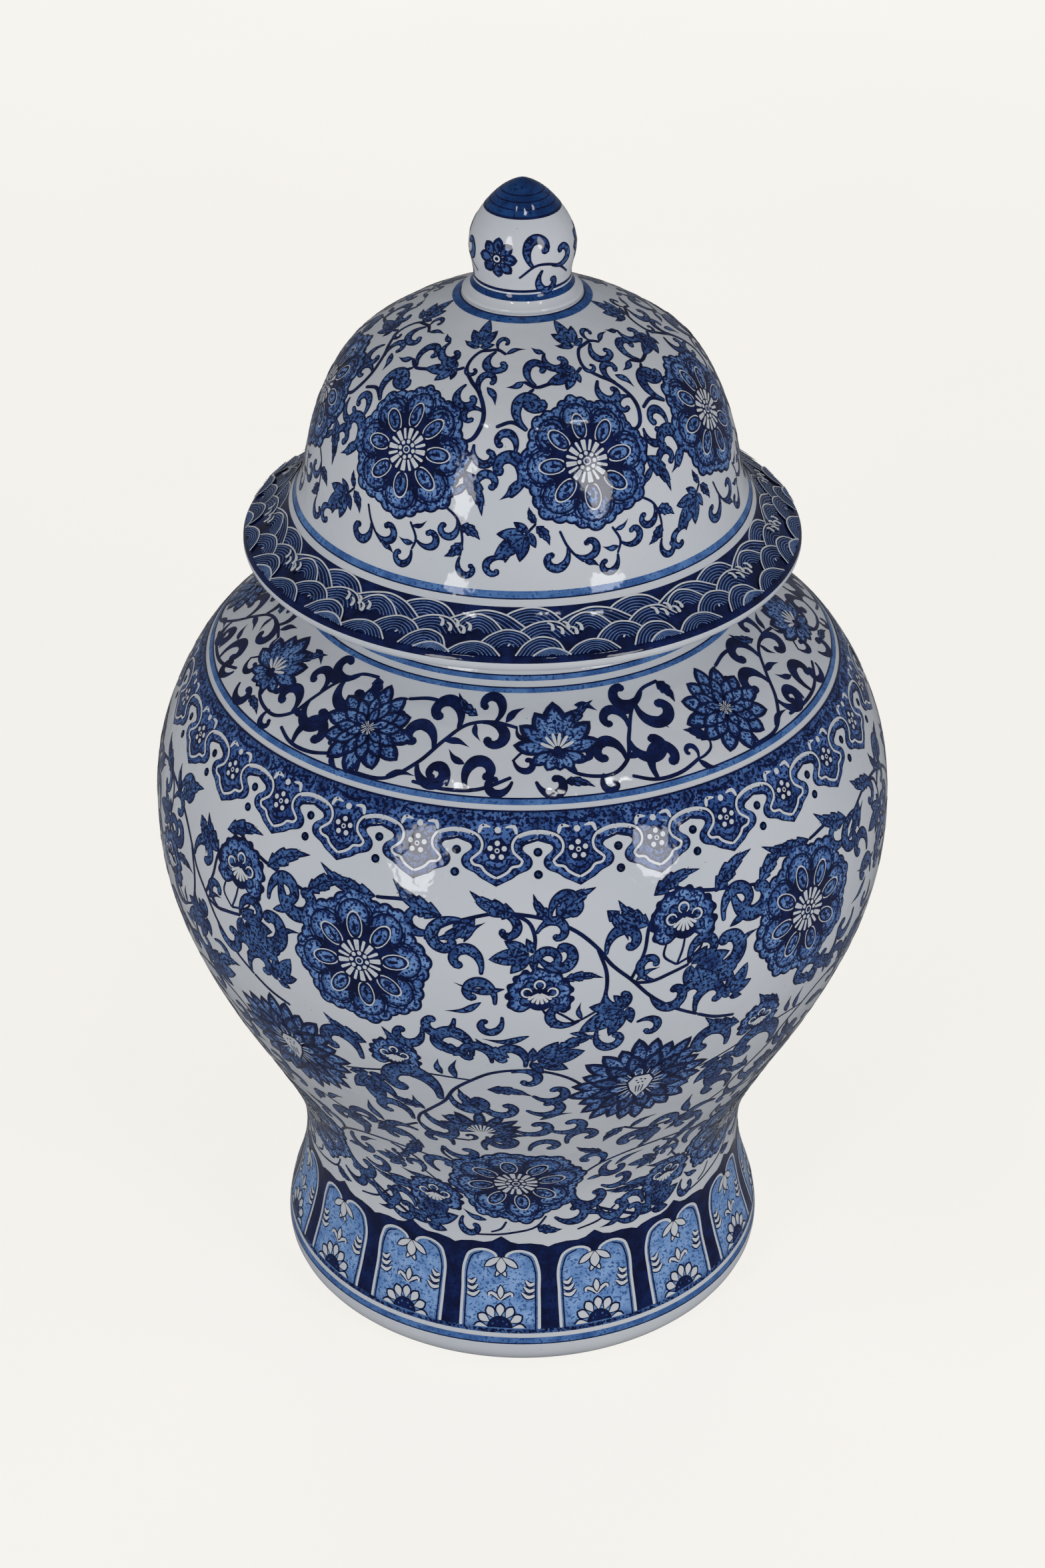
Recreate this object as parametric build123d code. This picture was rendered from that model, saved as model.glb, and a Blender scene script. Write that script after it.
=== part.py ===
from build123d import *
import os
from math import cos, hypot, radians, sin

# Covered temple jar of blue and white porcelain, thrown in sections that are
# luted together with slip: foot ring, lower body, upper body and neck make the
# jar; dome, locating ring and knob make the lid. Millimetres, +Z up, origin at
# the centre of the foot's resting plane.

# Driving dimensions
WALL = 8.0                 # wall of the thrown body
LID_WALL = 6.0             # wall of the thrown lid
FOOT_HEIGHT = 14.0         # foot ring, from the resting plane to the jar's underside
FOOT_BORE = 76.0           # inner radius of the foot ring
FLOOR = 9.0                # thickness of the jar's floor
BELLY_SEAM = 190.0         # height where lower and upper body are luted
NECK_SEAM = 301.5          # height where the neck is luted to the shoulder
NECK_RIM = 324.0           # top of the neck, on which the lid rests
SEAT_GAP = 0.3             # free space between the lid and the rim under it
RING_OUTER = 66.0          # lid's locating ring, slack inside the neck
RING_INNER = 61.0
RING_DEPTH = 22.0          # how far the locating ring reaches down into the neck
KNOB_SEAM = 417.2          # height where the knob is luted to the dome
KNOB_FOOT = 21.6           # radius of the knob's foot
TOTAL_HEIGHT = 460.0

# Outlines as knots: radius, height, and the direction of travel in degrees
# from straight up, positive outwards.
JAR_OUTLINE = [
    (86.0, 0.0, 48),       # foot, rounded under
    (95.4, 12.5, 0),       # widest point of the foot
    (90.3, 35.0, -15),
    (87.0, 60.0, 0),       # waist
    (109.0, 120.0, 29.5),
    (129.0, 160.5, 22),
    (139.3, 211.0, 0),     # widest point of the belly
    (127.5, 260.0, -28),
    (117.0, 275.2, -43),   # shoulder line
    (98.0, 290.0, -54),
    (84.0, 299.5, -50),
    (77.0, 308.0, -14),    # neck
    (76.5, NECK_RIM, 0),
]
DOME_OUTLINE = [
    (100.8, 325.3, -62),   # start of the brim's upper face
    (83.2, 339.6, -28),
    (78.4, 357.0, -12),
    (70.4, 381.0, -26),
    (59.5, 396.0, -51),
    (24.0, 416.0, -66),
    (0.0, 424.0, -76),     # runs on under the knob
]
KNOB_OUTLINE = [
    (18.7, 420.9, -42),    # top of the stepped foot
    (17.3, 424.4, 0),      # neck of the bud
    (19.0, 435.5, 0),      # widest point of the bud
    (13.6, 449.6, -37),
    (0.0, TOTAL_HEIGHT, -72),
]
BRIM_ROLL = 3.2            # radius of the brim's rounded edge
BRIM_EDGE = (99.3, 322.4)  # centre of that rounding
HANDLE = 0.36              # length of a curve's handles, as a share of its chord


def heading(degrees):
    return sin(radians(degrees)), cos(radians(degrees))


def shifted(knots, distance):
    """The knots moved inwards, square to the outline."""
    moved = []
    for r, z, angle in knots:
        out, up = heading(angle)
        moved.append((r - distance * up, z + distance * out, angle))
    return moved


def curve(knots):
    """One smooth span between each pair of neighbouring knots."""
    spans = []
    for (r0, z0, a0), (r1, z1, a1) in zip(knots, knots[1:]):
        reach = HANDLE * hypot(r1 - r0, z1 - z0)
        out0, up0 = heading(a0)
        out1, up1 = heading(a1)
        spans.append(Bezier(
            (r0, 0, z0),
            (r0 + reach * out0, 0, z0 + reach * up0),
            (r1 - reach * out1, 0, z1 - reach * up1),
            (r1, 0, z1),
        ))
    return spans


def lathe(edges):
    """The solid swept by a closed outline in the XZ plane about Z."""
    return revolve(make_face(Wire(edges)), Axis.Z)


def straight(*points):
    pairs = zip(points, points[1:])
    return [Line((a[0], 0, a[1]), (b[0], 0, b[1])) for a, b in pairs]


def disc(radius, low, high):
    return Pos(0, 0, (low + high) / 2) * Cylinder(radius, high - low)


def slab(low, high):
    """Everything of the object between two heights."""
    return disc(2 * TOTAL_HEIGHT, low, high)


def jar_sections():
    outer = curve(JAR_OUTLINE)
    mouth = JAR_OUTLINE[-1][0]
    outside = lathe(outer + straight((mouth, NECK_RIM), (0, NECK_RIM), (0, 0), (86.0, 0)))
    hollow_knots = shifted(JAR_OUTLINE[2:], WALL)
    floor_top = FOOT_HEIGHT + FLOOR
    first_r, first_z, _ = hollow_knots[0]
    last_r, last_z, _ = hollow_knots[-1]
    rim_above = NECK_RIM + WALL
    inner = curve(hollow_knots)
    inside = lathe(inner + straight(
        (last_r, last_z), (last_r, rim_above), (0, rim_above), (0, floor_top),
        (first_r, floor_top), (first_r, first_z)))
    recess = disc(FOOT_BORE, -WALL, FOOT_HEIGHT)
    shell = outside - inside - recess
    heights = {
        "foot_ring": (-WALL, FOOT_HEIGHT),
        "lower_body": (FOOT_HEIGHT, BELLY_SEAM),
        "upper_body": (BELLY_SEAM, NECK_SEAM),
        "neck_ring": (NECK_SEAM, NECK_RIM + WALL),
    }
    return {name: shell & slab(*ends) for name, ends in heights.items()}


def lid_dome():
    seat = NECK_RIM + SEAT_GAP
    top_r, top_z, _ = DOME_OUTLINE[0]
    edge_r, edge_z = BRIM_EDGE
    outer = curve(DOME_OUTLINE)
    under_r = edge_r - 1.2
    under_z = edge_z - BRIM_ROLL
    brim = ThreePointArc((under_r, 0, under_z), (edge_r + BRIM_ROLL, 0, edge_z), (top_r, 0, top_z))
    bell = lathe(outer + [brim] + straight(
        (under_r, under_z), (edge_r - 6, under_z), (edge_r - 12, seat), (0, seat), (0, 424.0)))
    hollow_knots = shifted(DOME_OUTLINE[2:-1], LID_WALL)
    low_r, low_z, _ = hollow_knots[0]
    high_r, high_z, _ = hollow_knots[-1]
    crown = KNOB_SEAM - LID_WALL
    hollow = lathe(curve(hollow_knots) + straight(
        (high_r, high_z), (0, crown), (0, seat - 1), (RING_INNER, seat - 1),
        (RING_INNER, seat + LID_WALL), (low_r, low_z)))
    above_knob_seam = disc(KNOB_FOOT, KNOB_SEAM, TOTAL_HEIGHT)
    return bell - hollow - above_knob_seam


def lid_locating_ring():
    seat = NECK_RIM + SEAT_GAP
    return disc(RING_OUTER, seat - RING_DEPTH, seat) - disc(RING_INNER, seat - RING_DEPTH, seat)


def lid_knob():
    ledge_z = KNOB_SEAM + 1.8
    shoulder_r, shoulder_z, _ = KNOB_OUTLINE[0]
    profile = curve(KNOB_OUTLINE) + straight(
        (0, TOTAL_HEIGHT), (0, KNOB_SEAM), (KNOB_FOOT - 0.6, KNOB_SEAM))
    ridge = ThreePointArc(
        (KNOB_FOOT - 0.6, 0, KNOB_SEAM), (KNOB_FOOT, 0, KNOB_SEAM + 0.9), (KNOB_FOOT - 0.9, 0, ledge_z))
    step = straight((KNOB_FOOT - 0.9, ledge_z), (shoulder_r, shoulder_z))
    return lathe(profile + [ridge] + step)


def main():
    os.makedirs("parts", exist_ok=True)
    nodes = jar_sections()
    nodes["lid_dome"] = lid_dome()
    nodes["lid_locating_ring"] = lid_locating_ring()
    nodes["lid_knob"] = lid_knob()
    for name, solid in nodes.items():
        solid.label = name
        export_step(solid, f"parts/{name}.step")


main()
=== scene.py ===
"""Looks of a covered temple jar in blue and white porcelain.

The glazed body is made of fine lathed skins, one for each thrown section. The painting is real
geometry too: every stem, leaf, petal and wave is a thin skin of cobalt that follows the glaze a
fraction of a millimetre above it. Lengths are in millimetres until a mesh is made, turns are in
degrees with 0 facing -Y, and "along" is the distance up the outline from a band's lower edge.
"""
import random
from math import atan2, ceil, cos, degrees, hypot, pi, radians, sin

import bpy
import numpy as np
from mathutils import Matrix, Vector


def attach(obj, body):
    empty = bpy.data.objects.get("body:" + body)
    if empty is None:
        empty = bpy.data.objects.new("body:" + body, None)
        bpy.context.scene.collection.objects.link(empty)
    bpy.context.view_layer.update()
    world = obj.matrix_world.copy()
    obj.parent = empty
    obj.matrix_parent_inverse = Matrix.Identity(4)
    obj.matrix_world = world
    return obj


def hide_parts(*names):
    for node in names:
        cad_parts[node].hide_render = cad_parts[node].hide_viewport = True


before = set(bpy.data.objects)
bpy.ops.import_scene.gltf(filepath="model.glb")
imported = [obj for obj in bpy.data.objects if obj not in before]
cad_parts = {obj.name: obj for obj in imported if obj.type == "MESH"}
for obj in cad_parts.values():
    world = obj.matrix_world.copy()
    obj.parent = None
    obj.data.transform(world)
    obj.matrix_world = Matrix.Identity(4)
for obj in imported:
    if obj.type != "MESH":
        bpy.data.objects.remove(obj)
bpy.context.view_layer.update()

MM = 0.001
SEGMENTS = 288             # divisions around each lathed skin
STEP = 2.0                 # spacing of points along a lathed outline
CURVE_POINTS = 160         # points that stand for each curve of an outline
SHARP_ANGLE = 32           # lathed edges that turn by more stay crisp

# The outlines of the solids: radius, height, direction of travel from straight up.
FOOT_TOP, BELLY_SEAM, NECK_SEAM, NECK_RIM = 14.0, 190.0, 301.5, 324.0
WALL, LID_WALL, JAR_FLOOR = 8.0, 6.0, 9.0
HANDLE = 0.36              # length of a curve's handles, as a share of its chord
RECESS = 76.0              # radius of the recess under the foot
SEAT = NECK_RIM + 0.3      # height at which the lid rests
RING_BORE, RING_RADIUS, RING_DROP = 61.0, 66.0, 22.3  # the ring under the lid
CROWN, LID_HOLLOW_TOP, TOP = 424.0, 411.2, 460.0      # heights in the lid
KNOB_FOOT, KNOB_TIP = 421.0, 449.6                    # where the knob's painting begins and its tip
WAIST, COLLAR, SHOULDER, NECK_FOOT = 60.0, 246.0, 275.2, 299.0  # where painted bands begin
JAR_OUTLINE = [
    (86.0, 0.0, 48), (95.4, 12.5, 0), (90.3, 35.0, -15), (87.0, 60.0, 0),
    (109.0, 120.0, 29.5), (129.0, 160.5, 22), (139.3, 211.0, 0), (127.5, 260.0, -28),
    (117.0, SHOULDER, -43), (98.0, 290.0, -54), (84.0, 299.5, -50), (77.0, 308.0, -14),
    (76.5, NECK_RIM, 0),
]
DOME_OUTLINE = [
    (100.8, 325.3, -62), (83.2, 339.6, -28), (78.4, 357.0, -12),
    (70.4, 381.0, -26), (59.5, 396.0, -51), (24.0, 416.0, -66), (0.0, CROWN, -76),
]
KNOB_OUTLINE = [
    (18.7, 420.9, -42), (17.3, 424.4, 0), (19.0, 435.5, 0), (13.6, KNOB_TIP, -37),
    (0.0, TOP, -72),
]


# ---------------------------------------------------------------- surfaces

class Surface:
    """A surface of revolution, read by distance along its outline."""

    def __init__(self, knots):
        spans = []
        for (r0, z0, a0), (r1, z1, a1) in zip(knots, knots[1:]):
            p0, p1 = np.array([r0, z0]), np.array([r1, z1])
            reach = HANDLE * hypot(r1 - r0, z1 - z0)
            h0 = p0 + reach * np.array([sin(radians(a0)), cos(radians(a0))])
            h1 = p1 - reach * np.array([sin(radians(a1)), cos(radians(a1))])
            t = np.linspace(0, 1, CURVE_POINTS)[:-1, None]
            spans.append((1 - t) ** 3 * p0 + 3 * (1 - t) ** 2 * t * h0
                         + 3 * (1 - t) * t ** 2 * h1 + t ** 3 * p1)
        self.points = np.vstack(spans + [np.array([knots[-1][:2]])])
        steps = np.diff(self.points, axis=0)
        self.along = np.concatenate([[0], np.cumsum(np.hypot(*steps.T))])
        tangent = np.gradient(self.points, self.along, axis=0)
        tangent /= np.linalg.norm(tangent, axis=1)[:, None]
        self.normals = np.stack([tangent[:, 1], -tangent[:, 0]], 1)

    def at(self, height):
        """Distance along the outline at a height."""
        return float(np.interp(height, self.points[:, 1], self.along))

    def read(self, along):
        return [np.interp(along, self.along, column)
                for column in (*self.points.T, *self.normals.T)]

    def place(self, turn, along, lift):
        """Points and normals in space, for turns in radians."""
        r, z, out, up = self.read(along)
        r = r + lift * out
        points = np.stack([r * np.sin(turn), -r * np.cos(turn), z + lift * up], -1)
        normals = np.stack([out * np.sin(turn), -out * np.cos(turn), up], -1)
        return points, normals

    def stretch(self, low, high, inwards=0.0):
        """Outline points between two heights, each moved inwards by a wall."""
        start, end = self.at(low), self.at(high)
        count = max(2, ceil((end - start) / STEP) + 1)
        r, z, out, up = self.read(np.linspace(start, end, count))
        return [tuple(p) for p in np.stack([r - inwards * out, z - inwards * up], 1)]


JAR = Surface(JAR_OUTLINE)
DOME = Surface(DOME_OUTLINE)
KNOB = Surface(KNOB_OUTLINE)
BRIM = Surface([(101.9, 320.5, 36), (102.5, 322.4, 0)] + DOME_OUTLINE[:3])


# ---------------------------------------------------------------- materials

def glaze(name, roughness=0.07):
    """A glossy glaze with a faint waviness: its material, tree, place in the object and shader."""
    material = bpy.data.materials.new(name)
    material.use_nodes = True
    tree = material.node_tree
    shader = tree.nodes["Principled BSDF"]
    shader.inputs["Roughness"].default_value = roughness
    shader.inputs["IOR"].default_value = 1.5
    shader.inputs["Specular IOR Level"].default_value = 0.32
    place = tree.nodes.new("ShaderNodeTexCoord")
    waves = noise(tree, place, 70.0)
    bump = tree.nodes.new("ShaderNodeBump")
    bump.inputs["Strength"].default_value = 0.14
    bump.inputs["Distance"].default_value = 0.004
    tree.links.new(waves, bump.inputs["Height"])
    tree.links.new(bump.outputs["Normal"], shader.inputs["Normal"])
    return material, tree, place, shader


def noise(tree, place, scale, detail=3.0):
    """A noise that is fixed to the object."""
    node = tree.nodes.new("ShaderNodeTexNoise")
    node.inputs["Scale"].default_value = scale
    node.inputs["Detail"].default_value = detail
    tree.links.new(place.outputs["Object"], node.inputs["Vector"])
    return node.outputs["Fac"]


def ramp(tree, value, *stops):
    """Colours for a value, from (position, colour) stops."""
    node = tree.nodes.new("ShaderNodeValToRGB")
    bands = node.color_ramp
    while len(bands.elements) < len(stops):
        bands.elements.new(0.5)
    for element, (position, colour) in zip(bands.elements, stops):
        element.position = position
        element.color = (*colour, 1.0)
    tree.links.new(value, node.inputs["Fac"])
    return node.outputs["Color"]


def mixed(tree, share, first, second):
    """Two colours or colour sockets, mixed by a share."""
    node = tree.nodes.new("ShaderNodeMix")
    node.data_type = "RGBA"
    tree.links.new(share, node.inputs["Factor"])
    for value, socket in ((first, node.inputs["A"]), (second, node.inputs["B"])):
        if isinstance(value, tuple):
            socket.default_value = (*value, 1.0)
        else:
            tree.links.new(value, socket)
    return node.outputs["Result"]


def srgb(red, green, blue):
    """A display colour, 0 to 255, as scene linear values."""
    values = [c / 255 for c in (red, green, blue)]
    return tuple(c / 12.92 if c <= 0.04045 else ((c + 0.055) / 1.055) ** 2.4 for c in values)


def porcelain(name, light, dark):
    """White ware under clear glaze, with a soft bluish clouding and rare specks."""
    material, tree, place, shader = glaze(name)
    cloud = ramp(tree, noise(tree, place, 14.0, 4.0), (0.3, dark), (0.7, light))
    specks = ramp(tree, noise(tree, place, 900.0, 1.0), (0.79, (0, 0, 0)), (0.83, (1, 1, 1)))
    colour = mixed(tree, specks, cloud, srgb(120, 118, 112))
    tree.links.new(colour, shader.inputs["Base Color"])
    return material


def cobalt(name, light, dark, edge, stipple=0.0):
    """Underglaze blue: washes that pool and fade; stipple is how much fine dotting darkens it."""
    material, tree, place, shader = glaze(name)
    pooled = ramp(tree, noise(tree, place, 160.0), (0.36, dark), (0.64, light))
    low = 0.36 + 0.2 * stipple
    dots = ramp(tree, noise(tree, place, 900.0, 1.0), (low, (1, 1, 1)), (low + 0.05, (0, 0, 0)))
    inside = mixed(tree, dots, pooled, edge)
    rim = tree.nodes.new("ShaderNodeAttribute")
    rim.attribute_name = "rim"
    border = ramp(tree, rim.outputs["Fac"], (0.8, (0, 0, 0)), (1.0, (0.8, 0.8, 0.8)))
    tree.links.new(mixed(tree, border, inside, edge), shader.inputs["Base Color"])
    return material


def biscuit(name):
    """Unglazed porcelain: dry, warm and slightly gritty."""
    material, tree, place, shader = glaze(name, 0.75)
    grit = noise(tree, place, 420.0, 5.0)
    tree.links.new(ramp(tree, grit, (0.3, srgb(176, 166, 152)), (0.7, srgb(205, 198, 186))),
                   shader.inputs["Base Color"])
    return material


WHITE = porcelain("white_porcelain", srgb(203, 206, 210), srgb(193, 198, 205))
BISCUIT = biscuit("bare_porcelain")


# ---------------------------------------------------------------- meshes

def add_mesh(name, points, faces, material, body, normals=None):
    """A smooth piece on a body, from points in millimetres."""
    mesh = bpy.data.meshes.new(name)
    mesh.from_pydata((np.asarray(points) * MM).tolist(), [], faces)
    mesh.materials.append(material)
    mesh.shade_smooth()
    if normals is not None:
        mesh.normals_split_custom_set_from_vertices(normals.tolist())
    piece = bpy.data.objects.new(name, mesh)
    bpy.context.scene.collection.objects.link(piece)
    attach(piece, body)
    return piece


def lathe(name, outline, material, body, node):
    """A closed ring or solid turned about Z from a loop of (radius, height) points."""
    turns = np.linspace(0, 2 * pi, SEGMENTS, endpoint=False)
    points, rings = [], []
    for r, z in outline:
        first = len(points)
        if r < 1e-6:
            points.append((0, 0, z))
            rings.append([first] * SEGMENTS)
        else:
            points += [(r * sin(t), -r * cos(t), z) for t in turns]
            rings.append(list(range(first, first + SEGMENTS)))
    faces = []
    for low, high in zip(rings, rings[1:] + rings[:1]):
        for i in range(SEGMENTS):
            j = (i + 1) % SEGMENTS
            face = list(dict.fromkeys([low[i], low[j], high[j], high[i]]))
            if len(face) > 2:
                faces.append(face)
    piece = add_mesh(name, points, faces, material, body)
    piece.data.set_sharp_from_angle(angle=radians(SHARP_ANGLE))
    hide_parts(node)
    return piece


def arc(centre, radius, start, end, count=9):
    """Points on an arc; angles in degrees from +radius towards +height."""
    return [(centre[0] + radius * cos(radians(a)), centre[1] + radius * sin(radians(a)))
            for a in np.linspace(start, end, count)]


def walls():
    """The seven sections of the jar and its lid."""
    floor = FOOT_TOP + JAR_FLOOR
    foot_loop = JAR.stretch(0, FOOT_TOP) + [(RECESS, FOOT_TOP), (RECESS, 0.8), (RECESS + 0.8, 0)]
    lathe("foot_ring_skin", foot_loop, WHITE, "jar", "foot_ring")
    inner = JAR.stretch(37.0, BELLY_SEAM, WALL)
    side = inner[0][0]
    lathe("lower_body_skin", [(0, FOOT_TOP)] + JAR.stretch(FOOT_TOP, BELLY_SEAM) + inner[::-1]
          + [(side, floor + 4), (side - 4, floor), (0, floor)],
          WHITE, "jar", "lower_body")
    inner = JAR.stretch(BELLY_SEAM, NECK_SEAM, WALL)
    lathe("upper_body_skin", JAR.stretch(BELLY_SEAM, NECK_SEAM) + inner[::-1],
          WHITE, "jar", "upper_body")
    rim = [(75.7, NECK_RIM - 0.2), (75.0, NECK_RIM), (69.5, NECK_RIM), (68.5, NECK_RIM - 0.8)]
    inner = JAR.stretch(NECK_SEAM, NECK_RIM - 2, WALL)
    lathe("neck_ring_skin", JAR.stretch(NECK_SEAM, NECK_RIM - 0.8) + rim + inner[::-1],
          WHITE, "jar", "neck_ring")
    brim = [(RING_BORE, SEAT), (87.3, SEAT), (93.3, 319.3)] + arc((99.3, 322.4), 3.2, -112, 58)
    hollow = DOME.stretch(357, 416, LID_WALL)
    lathe("lid_dome_skin", brim + DOME.stretch(325.6, CROWN - 0.1) + [(0, CROWN), (0, LID_HOLLOW_TOP)]
          + hollow[::-1] + [(RING_RADIUS, 335.0), (RING_BORE, 330.3)],
          WHITE, "lid", "lid_dome")
    low = SEAT - RING_DROP
    ring_loop = [(RING_BORE, low + 0.3), (RING_BORE + 0.6, low), (RING_RADIUS - 0.8, low),
                 (RING_RADIUS, low + 0.8), (RING_RADIUS, SEAT), (RING_BORE, SEAT)]
    lathe("lid_locating_ring_skin", ring_loop, BISCUIT, "lid",
          "lid_locating_ring")
    stepped_foot = [(0, 417.3), (20.6, 417.3)] + arc((20.6, 418.2), 0.95, -80, 70)
    lathe("lid_knob_skin", stepped_foot + KNOB.stretch(KNOB_OUTLINE[0][1], TOP - 0.1) + [(0, TOP)],
          WHITE, "lid", "lid_knob")


# ---------------------------------------------------------------- painting

LIFT, LEVEL = 0.06, 0.05   # the first layer's height above the glaze, and each further layer's
STROKE_STEP = 0.75         # spacing of points along a brush stroke
ROOT_STEP = 1.5            # spacing of the places on a stem that growth can spring from
SHEET_STEP = 2.8           # widest gap between the rings of points in a filled shape
RING_STEP = 1.5            # widest gap between the rows of points in a band right round
TIGHTEST = 0.94            # share of a bend's radius that half a stroke may fill
THINNEST = 0.08            # narrowest width at which a wash inside a stroke is still laid
CELLS_PER_DEGREE = 2.3     # cells that keep shapes apart, about 1 mm wide on the belly


def smooth(points, spacing):
    """A soft curve through a few points, read at an even spacing."""
    points = np.asarray(points, float)
    chord = np.concatenate([[0], np.cumsum(np.hypot(*np.diff(points, axis=0).T))])
    if len(points) == 2:
        slopes = np.repeat([(points[1] - points[0]) / chord[1]], 2, axis=0)
    else:
        slopes = np.gradient(points, chord, axis=0)
    ends = np.array([0, 0.06, 0.16, 0.3, 0.5, 0.8]) * spacing * 2   # closer where a stroke rounds off
    inner = np.arange(spacing * 2, chord[-1] - spacing * 2, spacing)
    stops = np.unique(np.clip(np.concatenate([ends, inner, chord[-1] - ends]), 0, chord[-1]))
    span = np.clip(np.searchsorted(chord, stops, side="right") - 1, 0, len(points) - 2)
    width = (chord[span + 1] - chord[span])[:, None]
    t = (stops - chord[span])[:, None] / width
    return ((2 * t ** 3 - 3 * t ** 2 + 1) * points[span]
            + (t ** 3 - 2 * t ** 2 + t) * width * slopes[span]
            + (3 * t ** 2 - 2 * t ** 3) * points[span + 1]
            + (t ** 3 - t ** 2) * width * slopes[span + 1])


def brush(points, widths, inset=0.0, spacing=STROKE_STEP, teeth=0, depth=0.0):
    """A stroke as a grid of points: full widths are spread along it and its ends are rounded."""
    path = smooth(points, spacing)
    steps = np.hypot(*np.diff(path, axis=0).T)
    travel = np.concatenate([[0], np.cumsum(steps)])
    total = travel[-1]
    heading = np.gradient(path, travel, axis=0)
    heading /= np.linalg.norm(heading, axis=1)[:, None]
    share = travel / total
    half = np.interp(share, np.linspace(0, 1, len(widths)), widths) / 2
    if teeth:
        half = half * (1 - depth + depth * ((share * teeth) % 1.0))
    for gap in (travel, total - travel):
        near = gap < half
        half = np.where(near, np.sqrt(np.maximum(half ** 2 - (half - gap) ** 2, 0)), half)
    angle = np.unwrap(np.arctan2(heading[:, 1], heading[:, 0]))
    bend = np.gradient(angle, travel)
    bend = np.convolve(np.pad(bend, 1, mode="edge"), [0.25, 0.5, 0.25], mode="valid")
    left, right = (np.minimum(half, TIGHTEST / np.maximum(turn, 1e-6)) - inset
                   for turn in (bend, -bend))
    keep = (left + right > THINNEST) if inset else np.full(len(path), True)
    path, heading, left, right = (a[keep] for a in (path, heading, left, right))
    if len(path) < 3:
        return None
    side = np.stack([-heading[:, 1], heading[:, 0]], 1)
    left, right = np.maximum(left, 0.01), np.maximum(right, 0.01)
    rows = np.stack([path - side * right[:, None], path + side * ((left - right) / 2)[:, None],
                     path + side * left[:, None]], 1)
    return grid(rows)


def grid(rows):
    """Points and faces of a sheet given as rows of points, counterclockwise."""
    count, across = rows.shape[:2]
    index = np.arange(count * across).reshape(count, across)
    faces = np.stack([index[:-1, :-1], index[1:, :-1], index[1:, 1:], index[:-1, 1:]], -1)
    rim = np.tile(np.abs(np.linspace(-1, 1, across)), count)
    return rows.reshape(-1, 2), [faces.reshape(-1, 4)], rim


def fan(outline, centre=(0, 0)):
    """A filled shape seen whole from its centre, counterclockwise."""
    outline, centre = np.asarray(outline, float), np.asarray(centre, float)
    count = len(outline)
    rings = ceil(np.hypot(*(outline - centre).T).max() / SHEET_STEP)
    shares = np.linspace(0, 1, rings + 1)[1:]
    points = [centre[None]] + [centre + (outline - centre) * s for s in shares]
    first = np.arange(count) + 1
    follow = np.roll(first, -1)
    middle = np.stack([np.zeros(count, int), first, follow], 1)
    bands = [np.stack([first + k * count, first + (k + 1) * count, follow + (k + 1) * count,
                       follow + k * count], 1) for k in range(rings - 1)]
    rim = np.concatenate([[0]] + [np.full(count, s) for s in shares])
    return np.vstack(points), [middle] + bands, rim


def turned(points, angle):
    """Points turned about the anchor."""
    c, s = cos(radians(angle)), sin(radians(angle))
    return np.asarray(points, float) @ np.array([[c, s], [-s, c]])


def polar(distance, angle):
    """The point at a distance and an angle from the anchor."""
    return turned([(distance, 0)], angle)[0]


def ray(near, far, angle):
    """A straight stroke away from the anchor."""
    return turned([(near, 0), (far, 0)], angle)


def oval(width, height, centre=(0, 0), count=20):
    a = np.linspace(0, 2 * pi, count, endpoint=False)
    return np.stack([centre[0] + width / 2 * np.cos(a), centre[1] + height / 2 * np.sin(a)], 1)


def scallop(lobes, count=120):
    """The outer edge of overlapping discs, each (angle, distance, radius), around the centre."""
    a = np.linspace(0, 2 * pi, count, endpoint=False)
    reach = np.full(count, 0.5)
    for turn, distance, radius in lobes:
        gap = a - radians(turn)
        inside = radius ** 2 - (distance * np.sin(gap)) ** 2
        far = distance * np.cos(gap) + np.sqrt(np.maximum(inside, 0))
        reach = np.where((inside > 0) & (far > reach), far, reach)
    return np.stack([reach * np.cos(a), reach * np.sin(a)], 1)


def petal(length, width, blunt=0.55, start=0.0, count=9):
    """A pointed petal along +x; blunt is where it is widest."""
    t = np.linspace(0, 1, count)
    swell = np.sin(pi * t ** (np.log(0.5) / np.log(blunt))) ** 0.8
    side = np.stack([start + length * t, width / 2 * swell], 1)
    return np.vstack([side * [1, -1], side[-2:0:-1]])


CURL_REACH, CURL_SIDE = 0.72, 58  # how far and how far round a curl of unit size is aimed
CURLS, SPEARS = 0.42, 0.14  # shares of the grown strokes; the rest are toothed leaves
GRACE, TENDRIL_GRACE = 2.8, 4.0  # length of a grown stroke that may lie over the one it springs from
BERTH = 4.4                # width of bare glaze that a tendril needs


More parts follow.
